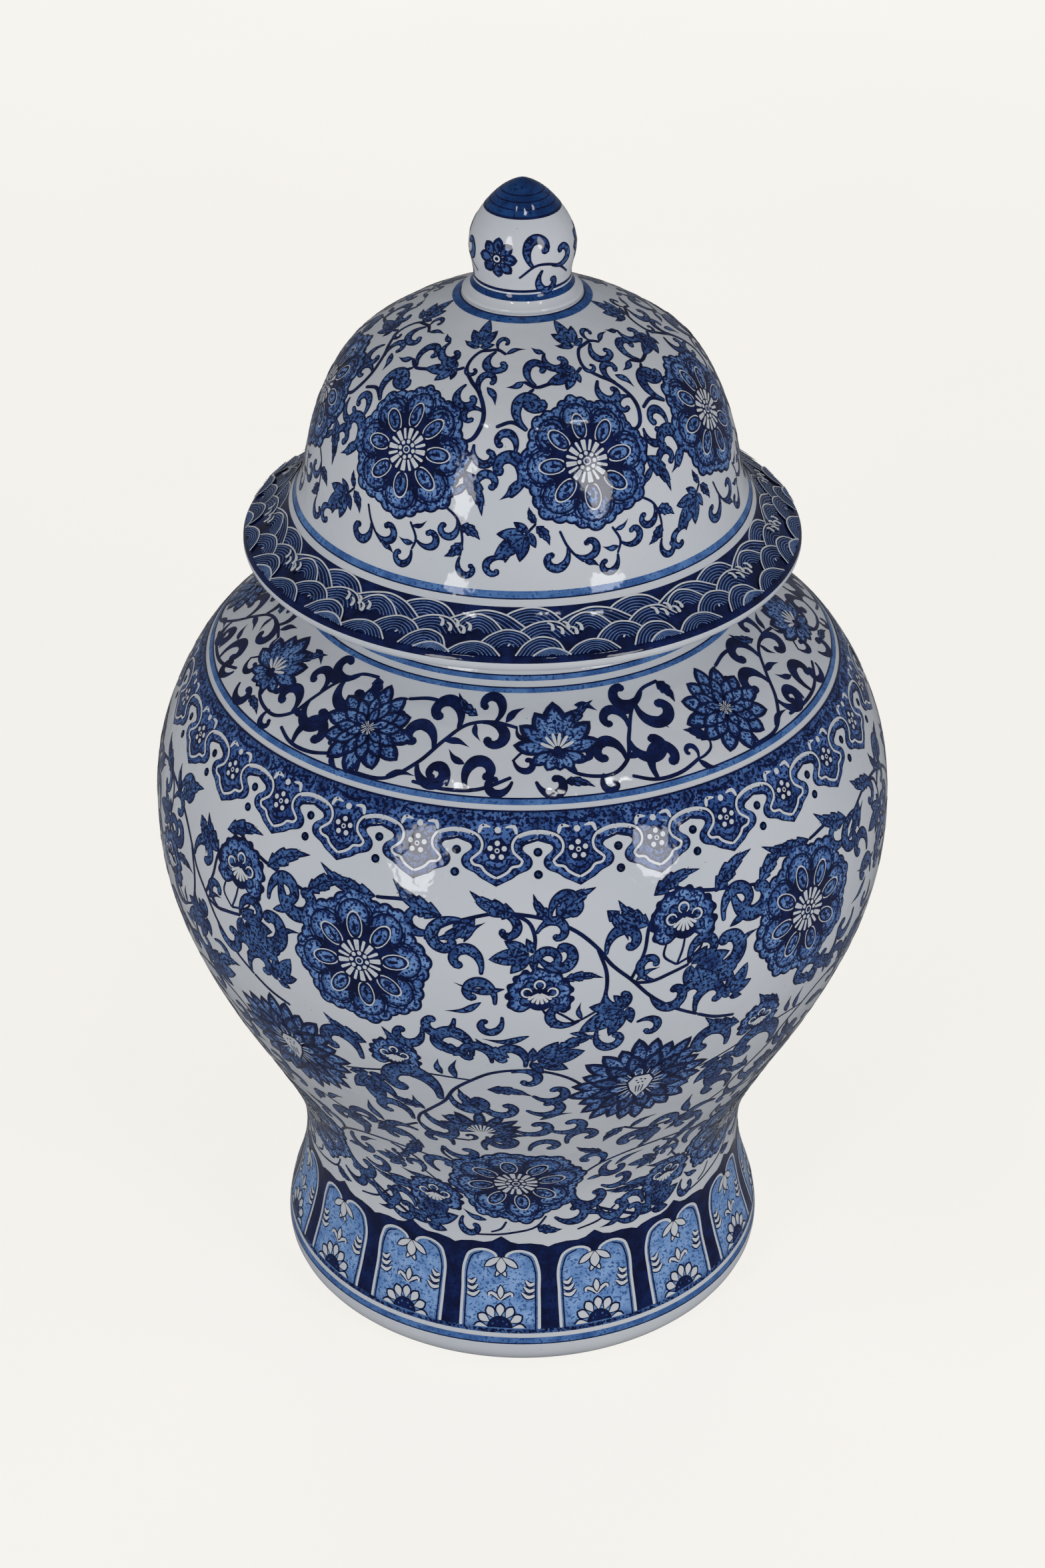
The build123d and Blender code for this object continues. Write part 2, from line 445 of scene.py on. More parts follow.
class Painter:
    """Lays painted shapes on a surface, one band of decoration at a time."""

    def __init__(self, surface, base, copies, height=0):
        self.surface, self.copies = surface, copies
        self.base = surface.at(base)
        self.height = height
        self.period = 360 / len(copies)
        self.sheets = {}
        self.taken = set()
        self.floor_of_growth = 0
        self.roots = []

    def lay(self, ink, at, shape, level):
        """Lays a shape, given in millimetres around its anchor (turn, along)."""
        if shape is None:
            return
        points, faces, rim = shape
        turn, along = at[0], self.base + at[1]
        radius = self.surface.read(along)[0]
        if level == 0:
            for i, j in self.cells(at, points):
                self.taken.update((i + a, j + b) for a in (-1, 0, 1) for b in (-1, 0, 1))
        laid = np.stack([radians(turn) + points[:, 0] / radius, along + points[:, 1],
                         np.full(len(points), LIFT + LEVEL * level), rim], 1)
        self.sheets.setdefault(ink, []).append((laid, faces))

    def cells(self, at, points):
        """The cells of the band's repeat that a shape's points fall in."""
        radius = self.surface.read(self.base + at[1])[0]
        turns = (at[0] + np.degrees(points[:, 0] / radius)) % self.period
        columns = (turns * CELLS_PER_DEGREE).astype(int).tolist()
        rows = np.floor(at[1] + points[:, 1]).astype(int).tolist()
        return set(zip(columns, rows))

    def free(self, at, points, grace):
        """Whether a shape lies on bare glaze, apart from its first few millimetres."""
        points = points[np.hypot(*points.T) > grace]
        cells = self.cells(at, points)
        return all(self.floor_of_growth < j < self.height - 0.5 for _, j in cells) and not cells & self.taken

    def local(self, points):
        """Turns (turn, along) points into millimetres around their own middle."""
        points = np.asarray(points, float)
        middle = points.mean(0)
        radius = self.surface.read(self.base + middle[1])[0]
        shift = points - middle
        return middle, np.stack([np.radians(shift[:, 0]) * radius, shift[:, 1]], 1)

    def line(self, points, widths, ink="navy", level=0):
        """A stroke through (turn, along) points; a dark one can carry further growth."""
        at, path = self.local(points)
        self.lay(ink, at, brush(path, widths), level)
        if ink == "navy" and level == 0:
            self.roots += smooth(points, ROOT_STEP).tolist()

    def area(self, points, ink, level, centre=None, soft=True):
        """A filled outline of (turn, along) points, counterclockwise."""
        at, path = self.local(points)
        if soft:
            path = smooth(np.vstack([path, path[:1]]), 0.8)[:-1]
        middle = (0, 0) if centre is None else self.local([centre, at])[1][0] * 2
        self.lay(ink, at, fan(path, middle), level)

    def spot(self, at, points, ink, level, centre=(0, 0)):
        """A filled outline in millimetres around the anchor, seen whole from its centre."""
        self.lay(ink, at, fan(points, centre), level)

    def bead(self, at, middle, width, height, ink, level, count):
        """A small oval away from the anchor."""
        self.spot(at, oval(width, height, middle, count), ink, level, middle)

    def dot(self, at, size, ink, level, tall=None):
        """A small oval on the anchor."""
        self.bead(at, (0, 0), size, tall or size, ink, level, 12)

    def mark(self, at, points, widths, rim=0.55, fill="wash", grace=None, **teeth):
        """A dark stroke with a lighter wash inside; with a grace it is only laid on bare glaze."""
        stroke = brush(points, widths, **teeth)
        if grace and not self.free(at, stroke[0], grace):
            return False
        self.lay("navy", at, stroke, 0)
        if fill:
            self.lay(fill, at, brush(points, widths, inset=rim, **teeth), 1)
        return True

    def reach(self, start, end):
        """Length in millimetres and heading in degrees from one place to another."""
        radius = self.surface.read(self.base + start[1])[0]
        across, up = radians(end[0] - start[0]) * radius, end[1] - start[1]
        return hypot(across, up), degrees(atan2(up, across))

    def curl(self, start, bulb, hand, fill="wash", grace=None):
        """A comma that hooks round to its bulb; hand is 1 turning left, -1 turning right."""
        distance, heading = self.reach(start, bulb)
        size = distance / CURL_REACH
        path = np.array([(0, 0), (0.3, -0.02), (0.6, 0.08), (0.79, 0.34), (0.72, 0.62), (0.48, 0.74),
                         (0.3, 0.62), (0.38, 0.5)]) * [size, size * hand]
        widths = np.array([0.11, 0.17, 0.27, 0.35, 0.35, 0.31, 0.28, 0.25]) * size
        return self.mark(start, turned(path, heading - CURL_SIDE * hand), widths, 0.6, fill, grace)

    def spear(self, start, tip, width, bend=0.12, fill="wash", grace=None):
        """A plain pointed leaf with a gentle bend."""
        length, heading = self.reach(start, tip)
        path = [(0, 0), (0.5 * length, bend * length), (length, 0)]
        widths = np.array([0.12, 0.7, 1.0, 0.85, 0.5, 0.22, 0.02]) * width
        return self.mark(start, turned(path, heading), widths, 0.55, fill, grace)

    def leaf(self, start, tip, width, bend=0.08, teeth=4, fill="wash", grace=None):
        """A toothed leaf with a rib and veins."""
        length, heading = self.reach(start, tip)
        path = [(0, 0), (0.35 * length, bend * length), (0.7 * length, bend * length), (length, 0)]
        widths = np.array([0.1, 0.62, 0.92, 1.05, 1.05, 0.95, 0.8, 0.6, 0.4, 0.2, 0.02]) * width
        if not self.mark(start, turned(path, heading), widths, 0.5, fill, grace,
                         spacing=0.6, teeth=teeth, depth=0.3):
            return
        rib = [(0, 0), (0.4 * length, bend * length), (0.82 * length, 0.4 * bend * length)]
        self.lay("navy", start, brush(turned(rib, heading), (0.7, 0.3)), 2)
        for share in (0.2, 0.42, 0.62):
            root = np.array([share * length, bend * length * min(1, 2 * share)])
            for side in (1, -1):
                tip_of_vein = root + [0.2 * length, side * 0.34 * width * (1.15 - share)]
                vein = turned([root, tip_of_vein], heading)
                self.lay("navy", start, brush(vein, (0.45, 0.2), spacing=1.2), 2)

    def maple(self, start, tip, width):
        """A vine leaf of five pointed lobes."""
        length, heading = self.reach(start, tip)
        lobes = [(74, 0.42, 0.0), (-74, 0.42, 0.0), (40, 0.66, 0.1), (-40, 0.66, 0.1), (0, 0.86, 0.16)]
        for ink, trim, level in (("navy", 0.0, 0), ("wash", 0.55, 1)):
            for angle, share, foot_share in lobes:
                size = share * length * (0.5 + 0.5 * width / 12)
                shape = turned(petal(size - 1.6 * trim, 0.5 * size - 1.3 * trim, 0.42), angle)
                shape = turned(shape + [foot_share * length + trim * (angle == 0), 0], heading)
                self.spot(start, shape, ink, level, shape.mean(0))
        for angle, share, foot_share in lobes:
            rib = turned([(0.6, 0), (0.62 * share * length, 0)], angle) + [foot_share * length, 0]
            self.lay("navy", start, brush(turned(rib, heading), (0.55, 0.25), spacing=1.2), 2)

    def grow(self, seed, trials, sizes=(5.6, 13.0), fill="wash"):
        """Fills bare glaze with tendrils, then with curls and leaves that spring from them."""
        chance = random.Random(seed)
        for trial in range(trials):
            start = chance.choice(self.roots)
            radius = self.surface.read(self.base + start[1])[0]
            size = sizes[1] + (sizes[0] - sizes[1]) * trial / trials
            kind, angle, hand = chance.random(), chance.uniform(0, 2 * pi), chance.choice((1, -1))
            if trial % 3 == 0:
                length = chance.uniform(10, 20)
                path = turned([(0, 0), (0.35 * length, 0.16 * length * hand),
                               (0.7 * length, 0.2 * length * hand), (length, 0)], degrees(angle))
                berth = brush(path, (BERTH, BERTH))
                if self.free(start, berth[0], TENDRIL_GRACE):
                    tendril = [(start[0] + degrees(x / radius), start[1] + y) for x, y in path]
                    self.line(tendril, (0.9, 1.1, 0.8))
                continue
            distance = size * (CURL_REACH if kind < CURLS else 1.25)
            end = (start[0] + degrees(distance * cos(angle) / radius),
                   start[1] + distance * sin(angle))
            if kind < CURLS:
                self.curl(start, end, hand, fill, GRACE)
            elif kind < CURLS + SPEARS:
                self.spear(start, end, 0.36 * size, 0.14 * hand, fill, GRACE)
            else:
                self.leaf(start, end, 0.62 * size, 0.08 * hand, fill=fill, grace=GRACE)

    def ring(self, low, high, ink, level=0):
        """A band right round the surface, between two distances along the outline."""
        turns = np.linspace(0, 2 * pi, SEGMENTS + 1)
        rows = max(2, ceil((high - low) / RING_STEP) + 1)
        along = self.base + np.linspace(low, high, rows)
        t, s = np.meshgrid(turns, along, indexing="ij")
        points = np.stack([t, s, np.full(t.shape, LIFT + LEVEL * level), np.zeros(t.shape)], -1)
        _, faces, _ = grid(points[..., :2])
        self.sheets.setdefault(ink + ":once", []).append((points.reshape(-1, 4), faces))

    def finish(self, name, body, inks=None):
        """Makes one piece for each ink, with every copy of the band's shapes."""
        colours = {**INKS, **(inks or {})}
        groups = {}
        for ink, sheets in self.sheets.items():
            plain, _, once = ink.partition(":")
            for shift in [0.0] if once else self.copies:
                for laid, faces in sheets:
                    groups.setdefault(plain, []).append((laid + [radians(shift), 0, 0, 0], faces))
        for ink, sheets in groups.items():
            offset, faces = 0, []
            for laid, parts in sheets:
                for part in parts:
                    faces += (part + offset).tolist()
                offset += len(laid)
            laid = np.vstack([sheet[0] for sheet in sheets])
            points, normals = self.surface.place(laid[:, 0], laid[:, 1], laid[:, 2])
            piece = add_mesh(f"{name}_{ink}", points, faces, colours[ink], body,
                             normals)
            rim = piece.data.attributes.new("rim", "FLOAT", "POINT")
            rim.data.foreach_set("value", laid[:, 3].astype(np.float32))


# ---------------------------------------------------------------- flowers

def rosette(p, at, radius, turn=10.0):
    """The big round flower: scalloped lobes, an eyelet on each petal and a striped heart."""
    lobes = 8
    big = 360 / lobes
    petals = [(turn + k * big, 0.62 * radius, 0.265 * radius) for k in range(lobes)]
    between = [(turn + (k + 0.5) * big, 0.66 * radius, 0.23 * radius) for k in range(lobes)]
    edge = ((-0.25, 0.83), (0.0, 0.88), (0.25, 0.83), (0.5, 0.78))
    ruffles = [(turn + (k + step) * big, reach * radius, 0.13 * radius)
               for k in range(lobes) for step, reach in edge]
    p.spot(at, scallop(petals + between + ruffles, 200), "navy", 0)
    layers = ((between, "wash", 1, 0.035), (ruffles, "sky", 2, 0.03),
              (petals, "navy", 2.8, 0.02), (petals, "sky", 3, 0.045))
    for group, ink, level, trim in layers:
        for k, (angle, distance, size) in enumerate(group):
            across = 2 * (size - trim * radius)
            p.bead(at, polar(distance, angle), across, across, ink, level + 0.02 * k, 18)
    for angle, *_ in petals:
        for side in (-1, 1):
            crease = turned([(0.50 * radius, side * 0.25 * radius), (0.68 * radius, side * 0.27 * radius),
                             (0.86 * radius, side * 0.15 * radius)], angle)
            p.lay("navy", at, brush(crease, (0.9, 0.7, 0.2)), 4)
        for spread in (-0.2, -0.1, 0.0, 0.1, 0.2):
            spot = turned([((0.84 - 1.6 * spread ** 2) * radius, spread * radius)], angle)[0]
            p.bead(at, spot, 1.3, 1.1, "navy", 4, 7)
    p.spot(at, scallop([(angle, 0.42 * radius, 0.2 * radius) for angle, *_ in petals]), "navy", 4)
    for angle, *_ in petals:
        for size, ink, level in ((0.96, "pale", 5), (0.84, "navy", 6), (0.66, "sky", 7)):
            eye = oval(0.42 * radius * size, 0.24 * radius * size, (0.5 * radius, 0), 16)
            p.spot(at, turned(eye, angle), ink, level, polar(0.5 * radius, angle))
        seed = oval(0.14 * radius, 0.05 * radius, (0.47 * radius, 0), 10)
        p.spot(at, turned(seed, angle), "navy", 8, polar(0.47 * radius, angle))
    heart(p, at, 0.31 * radius, turn + big / 2)


def heart(p, at, radius, turn=0.0):
    """White striped petals round a ring of dots."""
    p.spot(at, oval(2.15 * radius, 2.15 * radius, count=36), "navy", 6)
    width = 0.12 * radius
    for angle in even(8, turn):
        for side in (-0.21, 0.0, 0.21):
            tip = 1.0 - 1.6 * side ** 2
            stripe = turned([(0.3 * radius, side * 0.5 * radius), (tip * radius, side * 1.55 * radius)],
                            angle)
            p.lay("pale", at, brush(stripe, (0.5 * width, width, 1.2 * width)), 7)
    p.spot(at, oval(0.98 * radius, 0.98 * radius, count=20), "navy", 8)
    for angle in even(8):
        p.bead(at, polar(0.36 * radius, angle), 0.2 * radius, 0.2 * radius, "pale", 9, 8)
    for size, ink, level in ((0.36, "pale", 9), (0.24, "navy", 10), (0.1, "wash", 10)):
        p.dot(at, size * radius, ink, level)


def peony(p, at, radius):
    """Half of an opened flower: ruffled lobes, three white eyes and a white fan below."""
    lobes = [(angle, 0.64 * radius, 0.34 * radius) for angle in (-22, 18, 54, 90, 126, 162, 202)]
    frill = [(angle, 0.9 * radius, 0.14 * radius) for angle in range(-30, 222, 21)]
    p.spot(at, scallop(lobes + frill + [(270, 0.1 * radius, 0.42 * radius)]), "navy", 0)
    for k, (angle, distance, size) in enumerate(lobes):
        inner = polar(0.72 * distance, angle)
        p.bead(at, polar(distance, angle), 1.66 * size, 1.66 * size, "sky", 1 + 0.02 * k, 16)
        p.bead(at, inner, 1.1 * size, 1.1 * size, "navy", 2 + 0.02 * k, 14)
        p.bead(at, inner, 0.8 * size, 0.8 * size, "wash", 3, 12)
    for angle in (20, 90, 160):
        eye = polar(0.4 * radius, angle)
        ring = [eye + polar(0.15 * radius, angle + a) for a in np.linspace(-150, 150, 9)]
        p.lay("pale", at, brush(ring, (0.3, 0.7, 0.8, 0.7, 0.3)), 4)
    for angle in np.linspace(215, 325, 6):
        stripe = ray(0.04 * radius, 0.42 * radius, angle) + [0, 0.14 * radius]
        p.lay("pale", at, brush(stripe, (0.4, 1.0, 1.3)), 4)


def pointed_layer(p, at, angles, length, width, start, level, stretch=(1.0,), fill="sky"):
    """One round of pointed petals with dark rims; stretch varies their length in turn."""
    for k, angle in enumerate(angles):
        reach = length * stretch[k % len(stretch)]
        shape = petal(reach - start, width, 0.58, start)
        middle = polar((reach + start) / 2, angle)
        p.spot(at, turned(shape, angle), "navy", level, middle)
        inner = petal(0.8 * (reach - start), 0.62 * width, 0.55, start + 0.06 * reach)
        p.spot(at, turned(inner, angle), fill, level + 1, middle)
        rib = ray(start, 0.72 * reach, angle)
        p.lay("navy", at, brush(rib, (0.4, 0.35, 0.1), spacing=2.0), level + 2)


def chrysanthemum(p, at, radius):
    """The belly's big flower of pointed petals round a small seed head."""
    outer = np.array(even(24, 7))
    p.spot(at, oval(1.3 * radius, 1.3 * radius, count=40), "navy", 0)
    pointed_layer(p, at, outer, radius, 0.25 * radius, 0.3 * radius, 0, (1.0, 0.88, 0.95))
    pointed_layer(p, at, outer[::2] + 8, 0.72 * radius, 0.25 * radius, 0.14 * radius, 3, fill="wash")
    pointed_layer(p, at, outer[::3] + 3, 0.46 * radius, 0.2 * radius, 0.1 * radius, 6)
    for angle in even(20):
        streak = turned([(0.14 * radius, 0), (0.34 * radius, 0.01 * radius)], angle)
        p.lay("pale", at, brush(streak, (0.3, 0.6, 0.2), spacing=1.5), 9)
    crown = [(0, -0.30), (0.12, -0.1), (0.17, 0.08), (0.1, 0.2), (-0.1, 0.2), (-0.17, 0.08), (-0.12, -0.1)]
    pod = np.array(crown) * radius
    p.spot(at, pod * 1.18, "navy", 10)
    p.spot(at, pod, "pale", 11)
    for x, y in ((-0.06, 0.11), (0.0, 0.13), (0.06, 0.11), (-0.03, 0.05), (0.03, 0.05)):
        spot = np.array([x, y]) * radius
        p.bead(at, spot, 0.9, 0.9, "navy", 12, 7)
    for x in (-0.05, 0.0, 0.05):
        stripe = np.array([(x, -0.02), (0.7 * x, -0.18)]) * radius
        p.lay("navy", at, brush(stripe, (0.5, 0.3)), 12)


def water_lily(p, at, width, height):
    """A low lotus seen from the side: pointed petals over a cup of stripes."""
    p.spot(at, oval(0.8 * width, 0.62 * height, (0, 0.3 * height)), "navy", 0)
    fans = [(-8, 0.52), (14, 0.55), (38, 0.62), (62, 0.66), (90, 0.7), (118, 0.66), (142, 0.62),
            (166, 0.55), (188, 0.52)]
    for angle, reach in fans:
        tip = np.array([reach * width * cos(radians(angle)),
                        0.2 * height + reach * height * 1.35 * sin(radians(angle))])
        size = hypot(*tip)
        heading = degrees(atan2(tip[1], tip[0]))
        shape = turned(petal(size, 0.3 * height, 0.6), heading)
        inner = turned(petal(0.74 * size, 0.18 * height, 0.6, 0.12 * size), heading)
        p.spot(at, shape, "navy", 1, shape.mean(0))
        p.spot(at, inner, "wash", 2, inner.mean(0))
    for angle in np.linspace(20, 160, 9):
        x = 0.2 * width * cos(radians(angle))
        y = 0.42 * height * sin(radians(angle))
        p.lay("pale", at, brush([(0.3 * x, 0.0), (x, y)], (0.4, 0.9), spacing=1.2), 4)


# ---------------------------------------------------------------- bands

def mirrored(points, turn):
    """(turn, along) points on the other side of a turn."""
    return [(2 * turn - t, s) for t, s in points]


def even(count, first=0.0):
    """Angles evenly spaced round a circle."""
    return [first + 360 * k / count for k in range(count)]


def paint(p, vines=(), curls=(), spears=(), leaves=(), maples=(), stems=(), fill="wash"):
    """Scrollwork: each list holds the places of one kind of stroke."""
    for vine in vines:
        p.line(vine, (1.3, 1.5, 1.3))
    for stem in stems:
        p.line(stem, (0.9, 1.0, 0.8))
    for start, bulb, hand in curls:
        p.curl(start, bulb, hand, fill)
    for start, tip, width in spears:
        p.spear(start, tip, width, fill=fill)
    for start, tip, width in leaves:
        p.leaf(start, tip, width)
    for start, tip, width in maples:
        p.maple(start, tip, width)


def upper_belly():
    """From the belly seam up to the collar."""
    p = Painter(JAR, BELLY_SEAM, even(5), 61.5)
    paint(p, vines=[
        [(-14.5, 40.5), (-12, 46), (-8, 50), (-4, 52.3), (0, 52), (5, 49), (8, 45), (11, 38),
         (13, 31), (16, 23.5), (19, 15), (23, 7), (27, 1)],
        [(-1, 52), (1, 49), (1.8, 44), (1.7, 38)],
        [(11, 38), (12.3, 27), (12.2, 20), (11.2, 12.5)],
        [(16.5, 22), (19, 21.3), (22, 23), (25, 25)],
        [(27, 1), (30, -3), (34, -6)], [(-12.6, 45), (-12.6, 50), (-16, 53.6), (-22.4, 53)],
        [(16, 24), (18, 34), (19, 44), (22, 53), (30, 51), (38, 47)],
    ], stems=[
        [(23, 26), (21, 31), (21.5, 36)], [(23, 26), (24, 32), (24.4, 36)],
        [(23, 26), (27, 31), (27.5, 36)], [(4, 9), (3.4, 12), (2.7, 15)], [(8, 7), (6, 11), (4.2, 14)],
        [(11.2, 12.5), (8, 8), (4, 6)],
    ], curls=[
        ((-12.6, 45), (-15.6, 49.5), -1), ((-9, 49.3), (-10.8, 40), 1), ((-4, 52), (-2.6, 45.4), -1),
        ((2, 45), (5.2, 44), -1), ((2, 37), (6, 38.5), 1), ((4, 49.8), (7.6, 53), -1),
        ((12.2, 35), (16, 38), -1), ((12.2, 21), (15, 17), 1), ((19, 15.4), (23, 15), 1),
        ((19.5, 21.4), (19.5, 29), -1), ((25, 25), (28.5, 28.5), -1), ((31, 38), (35, 42.5), -1),
        ((26.5, 24), (31.5, 30), 1), ((31, 25), (32.6, 19.5), 1), ((23.6, 6), (26.6, 10.5), -1),
        ((26.5, 2), (30, 7), -1), ((33, 50), (38, 45), 1), ((2, 29), (4.6, 34), -1),
        ((-6, 28.5), (-9.4, 33), 1), ((-4, 16), (-7.4, 20), 1), ((-3, 11), (-5.6, 7.6), -1),
        ((8.4, 8.4), (5.6, 13.5), -1), ((-10, 9), (-13.6, 6.4), -1), ((-15, 3), (-18.4, -1), -1),
        ((17, 4), (19, -1), -1), ((11, 3), (14, -1.5), 1),
    ], spears=[
        ((-8.6, 41), (-5.4, 49), 2.6), ((16.6, 22.6), (20.4, 26.6), 2.6), ((33, 25), (37.5, 30), 2.8),
        ((-2.6, 23), (-10, 24.6), 3.2), ((-6, 17), (-11.4, 12), 3.0), ((32, 35), (37, 36.6), 3.4),
        ((1, 2), (-6, 0), 3.2), ((7, 2.5), (10.6, -2), 2.6), ((13.4, 43), (16.8, 48), 2.6),
    ], leaves=[
        ((12.6, 51.8), (15.6, 39.5), 5.4), ((6, 26.6), (11.8, 26), 4.6), ((-22.4, 53), (-32.4, 59.6), 7.2),
        ((-12, 50), (-20, 60.6), 7.2), ((-1, 52.5), (-8, 60), 7.0), ((5, 49.6), (11.2, 60.6), 7.4),
        ((19, 44), (14.4, 55), 7.0), ((30, 50), (37.6, 60.6), 7.4), ((38, 47), (45.4, 57), 6.8),
        ((20, 54.4), (28, 60), 6.6), ((-7, 50.6), (-13, 41), 6.6), ((4.6, 49), (1.6, 59.6), 5.0),
    ], maples=[((1.7, 37.5), (-5.6, 34.6), 9), ((25.4, 24.4), (33, 13), 12), ((15.6, 12), (8.4, 3), 12),
               ((32.4, 4.4), (35.4, 17.5), 11)])
    peony(p, (24.5, 42.5), 13)
    peony(p, (2.5, 20), 12)
    rosette(p, (-24.4, 27), 27.5)
    p.grow(3, 6500)
    p.finish("upper_belly", "jar")


def lower_belly():
    """From the waist up to the belly seam."""
    p = Painter(JAR, WAIST, even(6), 142)
    paint(p, vines=[
        [(9.5, 113.5), (7, 119), (3, 123.5), (-1, 124.3), (-5, 122), (-8, 117), (-11, 110), (-13, 101),
         (-16, 93), (-18.5, 86), (-19, 80), (-17.5, 75.5), (-15, 71.5), (-10, 70.5)],
        [(-19.5, 79), (-23, 74), (-27, 71.5), (-32, 70), (-37, 71), (-41, 76)],
        [(14.5, 40), (17, 45), (20, 48.5), (25, 52), (29, 53), (36, 52), (45, 46)],
        [(31, 52), (35, 47), (37.5, 41)], [(-41, 13), (-33, 6), (-27, 2), (-20, 4)],
        [(-15, 50), (-16.5, 55), (-16, 62)],
    ], stems=[
        [(2, 124), (1.2, 127), (1.5, 130)], [(-21, 116), (-26, 112), (-30, 109)],
        [(-4, 9), (-5.4, 5), (-8, 3)], [(6, 12), (4, 7), (-3, 3), (-13, 1)],
        [(24, 12), (20, 6), (14, 3)], [(-8, 117), (-14, 118), (-20, 117)],
        [(-23, 35), (-20, 28), (-18, 22)],
    ], curls=[
        ((-6.6, 103), (-2.4, 99.6), 1), ((-1.8, 123), (0.6, 117), -1), ((1.6, 108), (5.4, 111), 1),
        ((0.6, 97.6), (4.6, 101.5), 1), ((-1.6, 82), (2.8, 85.6), 1), ((4.6, 81.6), (8.8, 86), 1),
        ((-4.6, 128), (-8.2, 131.4), 1), ((0.4, 126), (-3, 131), 1), ((-7.6, 131), (-12, 136), 1),
        ((-20, 81.6), (-24.6, 86), 1), ((-26, 118), (-31, 123), 1), ((-6.6, 75.5), (-2.4, 72.4), 1),
        ((-13.6, 101.5), (-20.4, 108), 1), ((-12, 106), (-7.4, 103), 1), ((-17.4, 90), (-12.4, 88), 1),
        ((-19, 80), (-14, 78.6), 1), ((17, 45), (13.6, 50.6), 1), ((19.6, 46), (22.4, 38.5), 1),
        ((25, 52.4), (21, 62), 1), ((32, 51.4), (31, 45), -1), ((19, 27), (23.6, 30.6), 1),
        ((19, 14), (25, 12.4), 1), ((24, 5), (29, 7.6), 1), ((12.4, 27), (18.4, 21.6), 1),
        ((8, 11), (13.4, 14.4), 1), ((-15, 10), (-12, 5), 1), ((-28, 8), (-33, 10.6), 1),
        ((-27, 8.6), (-23.4, 12), -1), ((-19, 37), (-16.6, 45.4), -1), ((-16, 62), (-11, 60), 1),
        ((-24, 33), (-26, 38.6), 1), ((38, 58), (33.6, 62), 1), ((-20, 72), (-24, 66), 1),
        ((-36, 70), (-33, 64.6), 1), ((8.6, 68), (12.6, 73), -1), ((25, 66), (29.4, 69.6), -1),
        ((-7, 62.6), (-3.6, 68), -1), ((1.4, 63), (5.6, 66), -1), ((-13.6, 64), (-17.4, 68), 1),
    ], spears=[
        ((-17, 92), (-18.6, 101.4), 3.2), ((-27, 73), (-28.4, 88), 4.2), ((21, 41), (27, 48.6), 3.0),
        ((26, 6), (20, 1.6), 3.0), ((15, 12), (21, 7), 3.2), ((-35, 23), (-23, 16), 4.4),
        ((-22.6, 30), (-30, 32), 3.2), ((15, 33), (20.6, 33.6), 2.8), ((-9, 9), (-15, 14), 3.0),
        ((-31, 103), (-36, 97), 3.0), ((3, 90), (8.6, 94), 3.0), ((-12.6, 119), (-13, 128), 3.2),
    ], leaves=[
        ((-6.4, 95), (-10.4, 111), 6.4), ((16.4, 57), (10.6, 64), 5.0), ((32.4, 21), (20, 22.6), 5.4),
        ((-21, 63), (-28.4, 43), 7.0), ((-5.6, 111.6), (1.6, 107.6), 6.0),
        ((-24.5, 129), (-31.5, 138.6), 7.0), ((-16.5, 131), (-21.5, 140), 6.4),
        ((-8.6, 132), (-13.8, 140.4), 6.0), ((-2, 131.6), (-7, 140.8), 6.4),
        ((5, 134.6), (11.6, 141), 5.8), ((-17, 94), (-23.4, 99), 5.6),
        ((-6, 74), (1, 76.6), 5.6), ((-33, 70), (-38.6, 61), 6.4), ((-27, 71), (-30.4, 62), 6.0),
    ], maples=[((1.5, 129), (9.6, 134), 11), ((-25.8, 110), (-25.4, 88.6), 12), ((32, 37), (24.6, 37.6), 12),
               ((-25, 2), (-19, 20.5), 12)])
    water_lily(p, (-7.5, 79), 28, 15)
    peony(p, (-20, 125), 10)
    peony(p, (38, 19), 11.5)
    chrysanthemum(p, (19.2, 109), 27.5)
    rosette(p, (-1.5, 34.5), 27)
    p.grow(5, 7000)
    p.finish("lower_belly", "jar")


